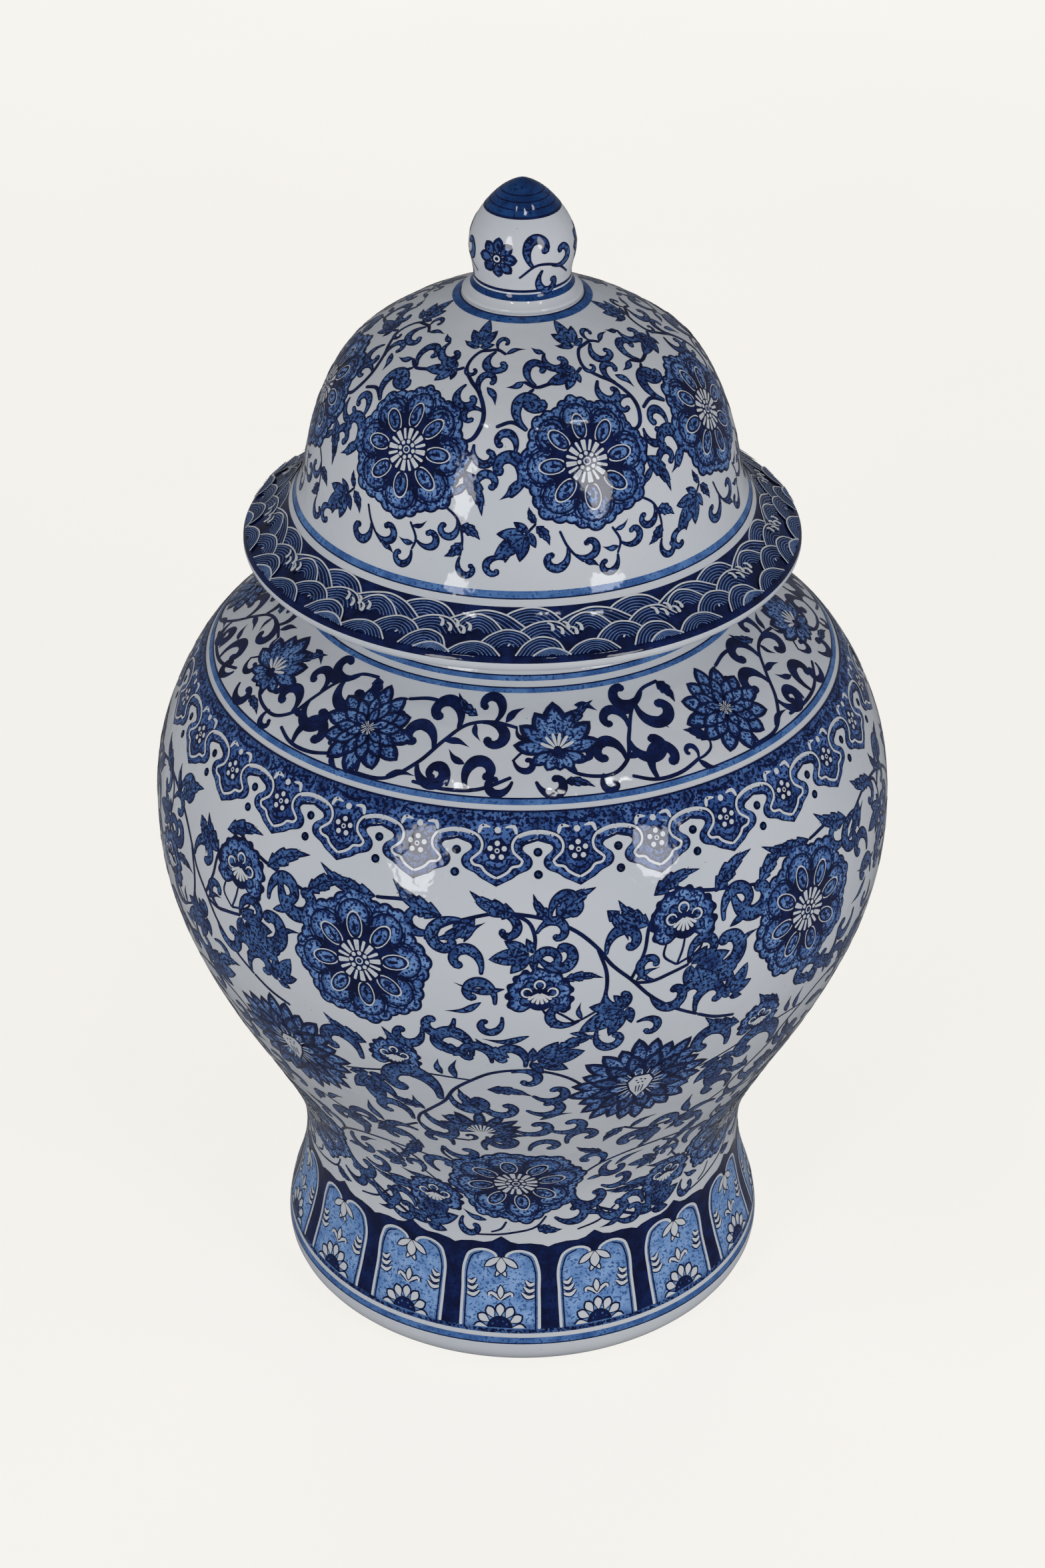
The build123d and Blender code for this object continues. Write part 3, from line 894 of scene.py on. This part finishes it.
def ruyi():
    """The collar of cloud heads that hangs from the shoulder line."""
    p = Painter(JAR, COLLAR, even(28))
    c, half = -4.0, 180 / 28   # turn of a cloud head's middle, and half its width in turn
    edge = [(2.43, 21.3), (0.8, 20.4), (0.0, 18.8), (0.4, 17.4), (1.2, 16), (1.6, 14), (1.0, 11.3),
            (-0.7, 9.6), (-1.6, 8.0), (-2.6, 6.9), (c, 5.2)]
    line = [(2.43, 24.8), (1.5, 24.6), (0.2, 23.9), (-1, 22.5), (-1.6, 20), (-1.4, 17.5), (-0.6, 15.7),
            (0, 14.2), (-0.3, 13), (-1.7, 12), (-2.1, 10.8), (-3, 9.3), (c, 8.2)]
    top = [(c + x * half, 31.5) for x in np.linspace(1, -1, 11)]
    for path, ink, level, heart_at in ((edge, "navy", 0, 17), (line, "sky", 3, 22)):
        side = smooth(path, 0.8).tolist()
        p.area(top + mirrored(side, c) + side[-2::-1], ink, level, (c, heart_at), soft=False)
    middle = [(2.43, 23.0), (0.6, 22.2), (-0.7, 20.6), (-0.7, 18), (0.2, 16.4), (0.8, 14.4),
              (0.4, 12.4), (-1.1, 10.8), (-2.0, 9.2), (-3, 7.8), (c, 6.8)]
    for path in (middle, mirrored(middle, c)):
        p.line(path, (1.6, 1.8, 2.0, 2.1, 2.1, 2.0, 1.8), "sky", 1)
    for path in (line, mirrored(line, c)):
        p.line(path, (0.9, 0.9), "pale", 5)
        p.line([(t + (0.34 if t < c else -0.34), s + 0.5) for t, s in path[2:]], (0.5, 0.5), "navy", 4)
    p.spot((c, 15.4), oval(11.0, 9.0), "sky", 3.5)
    p.dot((c, 17.8), 8.0, "navy", 4, 8.6)
    for k in range(5):
        p.bead((c, 17.8), polar(2.6, 90 + 72 * k), 1.9, 1.9, "pale", 5, 10)
    for size, ink, level in ((1.8, "pale", 5), (0.9, "navy", 6)):
        p.dot((c, 17.8), size, ink, level)
    p.line([(c - 1.5, 13.2), (c, 11.4), (c + 1.5, 13.2)], (0.3, 1.0, 0.3), "navy", 4)
    p.dot((c, 25.0), 2.3, "pale", 4)
    for side in (1, -1):
        p.line([(c + side * 1.2, 26.0), (c + side * 2.6, 26.2), (c + side * 3.1, 23.6)],
               (0.5, 1.2, 1.5, 0.8), "pale", 4)
        for height in (17.4, 9.6):
            p.dot((c + side * half, height), 3.2, "navy", 0)
            p.dot((c + side * half, height), 1.7, "wash", 1)
    for t in np.linspace(c - half, c + half, 9)[:-1]:
        p.dot((t, 28.6), 1.5, "navy", 4, 1.9)
        p.dot((t + 0.8, 26.9 + 0.5 * cos(3 * t)), 0.8, "navy", 4)
    p.line([(c - 3.4, 29.9), (c, 27.9), (c + 3.4, 29.9)], (0.6, 0.9, 0.6), "navy", 5)
    p.ring(29.8, 31.9, "wash", 3)
    p.ring(31.2, 31.9, "navy", 4)
    ground = cobalt("collar_cobalt", srgb(78, 112, 170), srgb(38, 70, 130), srgb(7, 20, 62), 0.42)
    p.finish("ruyi_collar", "jar", {"sky": ground})


def shoulder():
    """Scrolls with two kinds of flower, unevenly spaced round the shoulder."""
    p = Painter(JAR, SHOULDER, [0, 77.8, 148.4, 219, 289.5], 40)
    paint(p, vines=[
        [(7, 19), (9, 12), (13, 9), (17, 9), (20, 13), (22, 22), (25, 32), (29, 38), (34, 39.5)],
        [(-32, 3), (-25, 4), (-20, 12), (-16, 22), (-12, 29), (-6, 31), (-1, 29)],
        [(34, 7), (29, 4), (24, 4), (20, 7)], [(-2, 10), (-8, 5), (-14, 4), (-20, 5)],
        [(-16, 36), (-22, 37), (-27, 35)],
    ], curls=[
        ((-20, 12), (-15.6, 10.6), 1), ((-17.6, 18), (-22.6, 20.6), 1), ((-13.6, 27), (-18.6, 32), 1),
        ((-9, 30.6), (-6.6, 23.6), -1), ((-6, 30.8), (-8.4, 37.6), 1), ((10, 11), (12.6, 17), -1),
        ((15, 9.6), (16.6, 5.4), 1), ((20, 13), (15.6, 16), 1), ((21.6, 20.6), (26.6, 18), 1),
        ((22.6, 25), (18.6, 28.6), 1), ((26, 34), (31.6, 30), 1), ((29, 38), (23.6, 40), -1),
        ((-10, 4.6), (-6.6, 11), -1), ((-13.6, 5), (-16.6, 8.4), 1), ((24.6, 4), (28.6, 10), -1),
        ((2.4, 8.6), (6.2, 8.6), 1), ((-1.8, 8.6), (-5.2, 8.4), -1),
    ], spears=[
        ((-11, 14), (-14.6, 19), 2.8), ((-16, 22), (-10.6, 20.6), 2.8), ((20, 14), (24.6, 12.6), 2.8),
        ((-3.6, 31), (0.6, 37), 3.0), ((25, 31), (20.6, 34), 2.6), ((-25, 5), (-19.6, 7), 2.6),
        ((12, 37), (17, 33.6), 3.0), ((28.6, 24.6), (31, 21), 2.4),
    ], leaves=[((10, 28), (16.6, 38), 4.6), ((7.6, 8), (13, 5.0), 4.0), ((-10, 33), (-15.4, 41), 4.4)],
        fill=None)
    p.grow(2, 1200, (5.0, 9.0), None)
    at = (-32.5, 20.0)
    angles = np.array(even(12, 90))
    p.spot(at, oval(22, 22, count=36), "navy", 0)
    pointed_layer(p, at, angles, 18.5, 7.0, 5.0, 1, (1.0, 0.9, 0.96))
    pointed_layer(p, at, angles + 13, 13.0, 5.4, 3.0, 4)
    pointed_layer(p, at, angles[::2], 8.5, 4.2, 1.0, 7)
    heart(p, at, 2.8)
    at = (7.0, 20.0)
    p.spot(at, oval(15, 12, (0, -1), 30), "navy", 0)
    lotus = [(-90, 8, 5), (240, 9, 5), (-60, 9, 5), (208, 11, 5), (-28, 11, 5), (172, 16, 6.4),
             (8, 16, 6.4), (144, 17, 7), (36, 17, 7), (117, 17, 8), (63, 17, 8), (90, 19, 10)]
    for k, (angle, length, width) in enumerate(lotus):
        pointed_layer(p, at, [angle], length, width, 1.5, 1 + k % 2)
    for angle in (-65, -38, -12, 12, 38, 65):
        p.lay("pale", at, brush(ray(1.5, 6.6, 90 + angle), (0.6, 1.3, 0.9)), 5)
    p.ring(0, 2.4, "band", 0)
    p.ring(2.0, 2.6, "navy", 1)
    p.finish("shoulder", "jar")


def foot():
    """Arched panels with a half sunflower, between the lines at the foot and the waist."""
    p = Painter(JAR, FOOT_TOP, even(15))
    c = -5.4                   # turn of a panel's middle
    arch = [(c + 12.1, 43), (5, 44.2), (2, 45), (-1, 44.8), (-3, 45.6), (c, 48.2)]
    p.area([(c - 12.1, 36.5), (c, 36.5), (c + 12.1, 36.5)] + arch + mirrored(arch, c)[-2::-1],
           "navy", 0, (c, 40), soft=False)
    p.ring(7.5, 37.5, "navy", 0)
    outline = [(c + 9.4, 7.5), (c + 9.5, 22), (c + 9.2, 35), (c + 8.2, 39), (c + 5.6, 41.2), (c + 2.8, 40.8),
               (c + 1.4, 39.2), (c + 1.2, 37.4)]
    side = smooth(outline, 0.8).tolist()
    bottom = [(c + x, 7.5) for x in np.linspace(-8.6, 8.6, 13)]
    p.area(bottom + side + [(c, 38.2)] + mirrored(side, c)[::-1], "sky", 1, (c, 25), soft=False)
    for path in (outline, mirrored(outline, c)):
        p.line(path, (1.1, 1.1), "pale", 2)
        sign = 1 if path[0][0] > c else -1
        p.line([(t - sign * 0.9, s - 0.9) for t, s in path[:5]], (0.6, 0.6), "navy", 2)
    fleur = ((-90, 8.2, 4.8, 3), (-38, 8.6, 3.6, 3), (-142, 8.6, 3.6, 3),
             (-64, 5.0, 2.4, 2), (-116, 5.0, 2.4, 2))
    for turn, length, width, level in fleur:
        start = (c, 38.6 if level == 3 else 33.6)
        for trim, ink in ((0.0, "navy"), (0.55, "pale")):
            shape = turned(petal(length - 2.2 * trim, width - 2 * trim, 0.55, trim), turn)
            p.spot(start, shape, ink, level + trim, shape.mean(0))
    for side in (1, -1):
        for height, length in ((27.4, 2.2), (24.8, 2.7), (22.2, 3.2)):
            near, far = c + side * 8.4, c + side * (8.4 - length)
            wing = [(near, height - 0.6), ((near + far) / 2, height - 1.3), (far, height + 0.7)]
            p.line(wing, (2.4, 2.6, 1.6), "navy", 2)
            p.line(wing, (1.1, 1.5, 0.5), "pale", 3)
        scroll = [(c, 19.6), (c + side * 1.3, 21.6), (c + side * 2.7, 22.4), (c + side * 2.9, 20.9)]
        p.line(scroll, (1.8, 2.4, 2.2, 1.8), "navy", 2)
        p.line(scroll, (0.7, 1.3, 1.2, 0.8), "pale", 3)
    for trim, ink in ((0.0, "navy"), (0.6, "pale")):
        shape = turned(petal(6.4 - 2 * trim, 3.4 - 2 * trim, 0.5, trim), 90) - [0, 1.2]
        p.spot((c, 21), shape, ink, 3.5 + trim, shape.mean(0))
    for k in range(7):
        heading = 180 * k / 6
        middle = polar(7.8, heading) + [0, 0.8 if k in (0, 6) else 0]
        for length, width, start, ink in ((6.6, 4.4, 4.0, "navy"), (5.2, 3.1, 4.6, "pale")):
            shape = turned(petal(length, width, 0.62, start), heading)
            shape[:, 1] = np.maximum(shape[:, 1], 0)
            p.spot((c, 8.0), shape, ink, 2 + (ink == "pale"), middle)
    dome = np.array([(5 * cos(a), 5 * sin(a)) for a in np.linspace(0, pi, 16)])
    p.spot((c, 8.0), dome, "navy", 4, (0, 1.5))
    for angle in (30, 65, 115, 150):
        p.bead((c, 8.0), polar(3.2, angle), 1.0, 1.0, "wash", 5, 8)
    p.ring(5.7, 7.6, "wash", 0)
    for t in np.arange(c - 12, c + 12, 2.0):
        p.dot((t, 6.6), 0.9, "navy", 1)
    p.ring(0.8, 3.8, "band", 0)
    p.ring(0.8, 1.3, "navy", 1)
    pale_ground = cobalt("panel_cobalt", srgb(136, 168, 212), srgb(98, 136, 190), srgb(62, 98, 152), 0.15)
    p.finish("foot_panels", "jar", {"sky": pale_ground})


def neck_lines():
    """Two lines round the foot of the neck."""
    p = Painter(JAR, NECK_FOOT, [0])
    for height in (300.4, 303.4):
        start = JAR.at(height) - p.base
        p.ring(start, start + 2.2, "band", 0)
        p.ring(start + 2.2 - 0.5, start + 2.2, "navy", 1)
    p.finish("neck_lines", "jar")


def dome():
    """Round flowers and scrolls, unevenly spaced round the lid."""
    p = Painter(DOME, 340.0, [0, 53.5, 104, 155, 206.5, 257.5, 308.5], 106)
    paint(p, vines=[
        [(-19, 51.5), (-16, 52.5), (-13.5, 57), (-13, 62), (-14.5, 67), (-17, 71), (-21, 74.5),
         (-25.5, 80), (-25, 84), (-22, 87.5), (-18.5, 88.3), (-13, 89), (-8.5, 87.3)],
        [(-26.5, 79.5), (-29.5, 77.8), (-43, 74.5), (-48, 73.5), (-53, 76)],
        [(-14.5, 50), (-15.6, 45), (-16.5, 42)],
        [(-52, 57), (-57, 60), (-62, 58)],
    ], stems=[
        [(-44, 22), (-42, 16), (-40, 12.5), (-38, 10)], [(-22, 30), (-17, 25), (-15.4, 18), (-15.8, 12)],
        [(-30, 21), (-28, 15), (-29, 11)], [(-50, 25), (-54, 19), (-58, 11)],
    ], curls=[
        ((-25.5, 81), (-21.6, 79), 1), ((-14, 88.3), (-9.6, 82.6), 1), ((-13, 89), (-9.4, 92.4), -1),
        ((-22.5, 73), (-18.6, 67.4), 1), ((-13, 63), (-17.4, 60), 1), ((-14.5, 51.5), (-9.6, 48.6), 1),
        ((-15.6, 70), (-12.6, 75.6), -1), ((-48, 74), (-45, 81), -1), ((-49, 73), (-46.6, 67), 1),
        ((-42, 88), (-34.6, 84), 1), ((-52, 57), (-49, 66), -1), ((-56, 48), (-60.2, 52.6), 1),
        ((-57, 34), (-59.6, 44), 1),
        ((-42, 16), (-46.4, 12.6), -1), ((-40.4, 13), (-36.6, 16.6), 1), ((-28, 15), (-24.2, 18), 1),
        ((-29, 11), (-32.6, 8.4), -1), ((-15.8, 12), (-13, 8.2), 1), ((-57.6, 12), (-60.4, 7.6), 1),
        ((-17, 25), (-20.6, 21.6), -1), ((-12.6, 34), (-8.4, 38), -1),
    ], spears=[
        ((-53, 76), (-60, 73.4), 2.8), ((-14, 73), (-9.6, 66), 2.8), ((-27, 90), (-35, 90.6), 2.8),
        ((-42, 88), (-48.5, 90.6), 2.6), ((-55, 40), (-59.6, 33), 3.4), ((-18.6, 33), (-13, 38), 3.0),
        ((-38, 10), (-34, 7.6), 2.6), ((-28.6, 13.6), (-33, 14.4), 2.4),
    ], leaves=[
        ((-16.5, 42), (-10.6, 27), 6.0), ((-16, 23), (-10.8, 18.6), 4.8), ((-15.5, 17), (-20, 11), 4.6),
        ((-50, 24), (-46.6, 17), 4.2),
    ], maples=[((-30, 78), (-43.6, 74.6), 12), ((-24, 89), (-27, 101.5), 13), ((-52, 22), (-61, 12), 11)])
    rosette(p, (-35, 45.0), 24.5, turn=3.0)
    p.ring(0.2, 1.0, "band", 0)
    p.floor_of_growth = 7
    p.grow(8, 2500, (5.0, 8.5))
    p.finish("dome", "lid")


def waves():
    """Cresting waves round the brim, laid from back to front."""
    p = Painter(BRIM, 325.2, even(15))
    p.ring(-2.4, 19.2, "navy", 0)
    crests = [
        ([(-31, 12), (-26, 17.6), (-22, 19), (-18, 17.8), (-14, 12)], 1),
        ([(-19, 11), (-12, 16.4), (-8, 17.6), (-4, 16.4), (2, 10)], 3),
        ([(-15.6, 9), (-12.6, 14.6), (-10, 16), (-7, 14.6), (-3.6, 9)], 5),
        ([(-27, 4), (-24, 10.6), (-20.6, 13.4), (-16, 13), (-13, 8)], 7),
        ([(-9.6, 3), (-6.6, 8.4), (-3.2, 10.6), (0.4, 9), (3, 4)], 9),
        ([(-25.4, 0), (-23.4, 5), (-20.4, 7.6), (-17, 6), (-15.2, 0)], 11),
        ([(-15.4, -0.2), (-12.6, 3.8), (-9.6, 5.2), (-6.6, 3.8), (-4.4, -0.2)], 13),
        ([(-22.0, -0.2), (-20.2, 2.0), (-18.2, 2.9), (-16.2, 2.0), (-14.4, -0.2)], 15),
    ]
    for crest, level in crests:
        middle = np.mean([crest[0], crest[-1]], 0)
        for size, ink, width in [(1.0, "pale", 0.6)] + [(0.86 - 0.15 * k, "foam", 0.36) for k in range(5)]:
            arch = (np.array(crest) - middle) * size + middle
            if size == 1.0:
                body = smooth(arch, 1.0)[::-1].tolist()
                p.area(body, "navy", level, middle + [0, 2.4], soft=False)
            p.line(arch, (width, width), ink, level + 1)
    foam = [(-18.6, 13), (-16.6, 11.4), (-15.2, 13.2), (-13.6, 11), (-12.4, 12.4)]
    for k, (t, s) in enumerate(foam):
        p.curl((t, s), (t + 0.9, s - 3.4), -1 if k % 2 else 1, fill=None)
        p.line([(t, s), (t + 1.0, s - 1.0), (t + 1.1, s - 3.4)], (0.5, 1.1, 1.5), "pale", 19)
    p.ring(21.8, 23.9, "band", 0)
    p.ring(21.8, 22.3, "navy", 1)
    p.finish("brim_waves", "lid")


def knob():
    """The blue tip, three flowers with their curls, and the line round the knob's foot."""
    k = Painter(KNOB, KNOB_FOOT, [0])
    tip = KNOB.at(KNOB_TIP) - k.base
    k.ring(tip, KNOB.along[-1] - k.base - 0.1, "band", 0)
    k.ring(tip, tip + 0.9, "navy", 1)
    k.ring(0.1, 4.2, "band", 0)
    k.ring(3.4, 4.2, "navy", 1)
    for step in (3.2, 6.0, 8.6):
        k.ring(tip + step, tip + step + 0.5, "navy", 1)
    for turn in (-28, 92, 212):
        at = (turn, 16)
        for petal_turn in even(8):
            shape = turned(petal(6.6, 4.4, 0.62, 1.0), petal_turn)
            k.spot(at, shape, "navy", 0, shape.mean(0))
            inner = turned(petal(4.6, 2.8, 0.62, 1.8), petal_turn)
            k.spot(at, inner, "wash", 1, inner.mean(0))
        for size, ink, level in ((4.2, "navy", 2), (2.6, "pale", 3), (1.4, "navy", 4)):
            k.dot(at, size, ink, level)
        k.line([(turn + 24, 9), (turn + 44, 14), (turn + 66, 13), (turn + 88, 8)], (0.9, 1.1, 0.8))
        k.curl((turn + 40, 13), (turn + 52, 20), -1)
        k.curl((turn + 60, 13.4), (turn + 74, 18), 1)
        k.curl((turn + 50, 12), (turn + 64, 6.6), 1)
    tip_blue = cobalt("tip_cobalt", srgb(26, 68, 124), srgb(12, 44, 92), srgb(10, 36, 80))
    k.finish("knob", "lid", {"band": tip_blue})
    c = Painter(DOME, 396.0, [0])
    low = DOME.at(415.6) - c.base
    c.ring(low, low + 3.4, "band", 0)
    c.ring(low + 2.8, low + 3.4, "navy", 1)
    ring_blue = cobalt("ring_cobalt", srgb(48, 92, 150), srgb(24, 64, 120), srgb(16, 48, 100))
    c.finish("knob_ring", "lid", {"band": ring_blue})


def inks():
    """The cobalts, from the darkest outline to the palest line."""
    deep = srgb(6, 16, 52)
    return {
        "navy": cobalt("navy_cobalt", srgb(13, 32, 82), srgb(5, 14, 48), deep),
        "wash": cobalt("wash_cobalt", srgb(72, 108, 162), srgb(32, 58, 112), deep, 0.4),
        "sky": cobalt("sky_cobalt", srgb(112, 148, 198), srgb(66, 102, 160), srgb(14, 32, 82), 0.42),
        "foam": cobalt("foam_cobalt", srgb(106, 132, 176), srgb(76, 104, 152), srgb(60, 88, 138)),
        "band": cobalt("band_cobalt", srgb(84, 124, 178), srgb(54, 92, 150), srgb(44, 78, 134)),
        "pale": WHITE,
    }


INKS = inks()


# ---------------------------------------------------------------- stage

PITCH = 31.5               # degrees that the camera looks down
JAR_MIDDLE = 0.25          # height in metres that the lamps aim at


def stage():
    """A warm white ground that glows evenly, as one flat tone without a shadow."""
    mesh = bpy.data.meshes.new("floor")
    side, low = 30.0, -0.0005
    mesh.from_pydata([(-side, -side, low), (side, -side, low), (side, side, low),
                      (-side, side, low)], [], [(0, 1, 2, 3)])
    floor = bpy.data.objects.new("floor", mesh)
    bpy.context.scene.collection.objects.link(floor)
    material = bpy.data.materials.new("floor_paper")
    material.use_nodes = True
    tree = material.node_tree
    shader = tree.nodes["Principled BSDF"]
    shader.inputs["Roughness"].default_value = 0.9
    shader.inputs["Specular IOR Level"].default_value = 0.1
    place = tree.nodes.new("ShaderNodeTexCoord")
    tree.links.new(ramp(tree, noise(tree, place, 3.0), (0.3, (0.15, 0.147, 0.142)),
                        (0.7, (0.17, 0.167, 0.162))), shader.inputs["Base Color"])
    shader.inputs["Emission Color"].default_value = (1.0, 0.975, 0.93, 1)
    shader.inputs["Emission Strength"].default_value = 0.82
    mesh.materials.append(material)
    floor.visible_glossy = floor.visible_diffuse = floor.visible_shadow = False


def softbox(name, turn, height, distance, width, tall, power, mirrored_in_glaze=True):
    """An oval soft light aimed at the jar's middle; turn and height in degrees, the rest in metres."""
    light = bpy.data.lights.new(name, "AREA")
    light.shape = "ELLIPSE"
    light.size, light.size_y = width, tall
    light.energy = power
    lamp = bpy.data.objects.new(name, light)
    lamp.visible_glossy = mirrored_in_glaze
    away, rise = radians(turn), radians(height)
    lamp.location = (distance * sin(away) * cos(rise), -distance * cos(away) * cos(rise),
                     JAR_MIDDLE + distance * sin(rise))
    aim = lamp.location - Vector((0, 0, JAR_MIDDLE))
    lamp.rotation_euler = aim.to_track_quat("Z", "Y").to_euler()
    bpy.context.scene.collection.objects.link(lamp)


def lights():
    """Two tall windows and three small lamps; the fills and bounces aren't mirrored in the glaze."""
    softbox("window_left", -31, 18, 2.0, 0.46, 0.95, 10.5)
    softbox("window_right", 40, 18, 2.0, 0.52, 0.85, 10.5)
    softbox("top_left", -34, 62, 2.0, 0.16, 0.16, 1.2)
    softbox("top_right", 15, 60, 2.0, 0.14, 0.14, 1.0)
    softbox("top_far_right", 50, 60, 2.0, 0.16, 0.16, 1.0)
    softbox("fill_left", -72, 8, 2.2, 1.4, 0.9, 10, False)
    softbox("fill_right", 72, 8, 2.2, 1.4, 0.9, 10, False)
    softbox("bounce_left", -55, -30, 2.2, 1.4, 0.8, 6, False)
    softbox("bounce_right", 55, -30, 2.2, 1.4, 0.8, 6, False)
    softbox("fill_back", 180, 16, 2.6, 2.0, 1.2, 20, False)
    world = bpy.data.worlds.new("studio")
    bpy.context.scene.world = world
    world.use_nodes = True
    back = world.node_tree.nodes["Background"]
    back.inputs["Color"].default_value = (0.93, 0.95, 1.0, 1)
    back.inputs["Strength"].default_value = 0.17


def camera():
    """A long lens 1.2 m in front of the jar and 0.95 m up."""
    data = bpy.data.cameras.new("camera")
    data.sensor_width = 36.0
    data.lens = 84.3
    view = bpy.data.objects.new("camera", data)
    view.location = (0.0, -1.2, 0.9475)
    view.rotation_euler = (radians(90 - PITCH), 0, 0)
    bpy.context.scene.collection.objects.link(view)
    bpy.context.scene.camera = view
    bpy.context.scene.view_settings.view_transform = "Standard"


walls()
for band in (foot, lower_belly, upper_belly, ruyi, shoulder, neck_lines, waves, dome, knob):
    band()
stage()
lights()
camera()
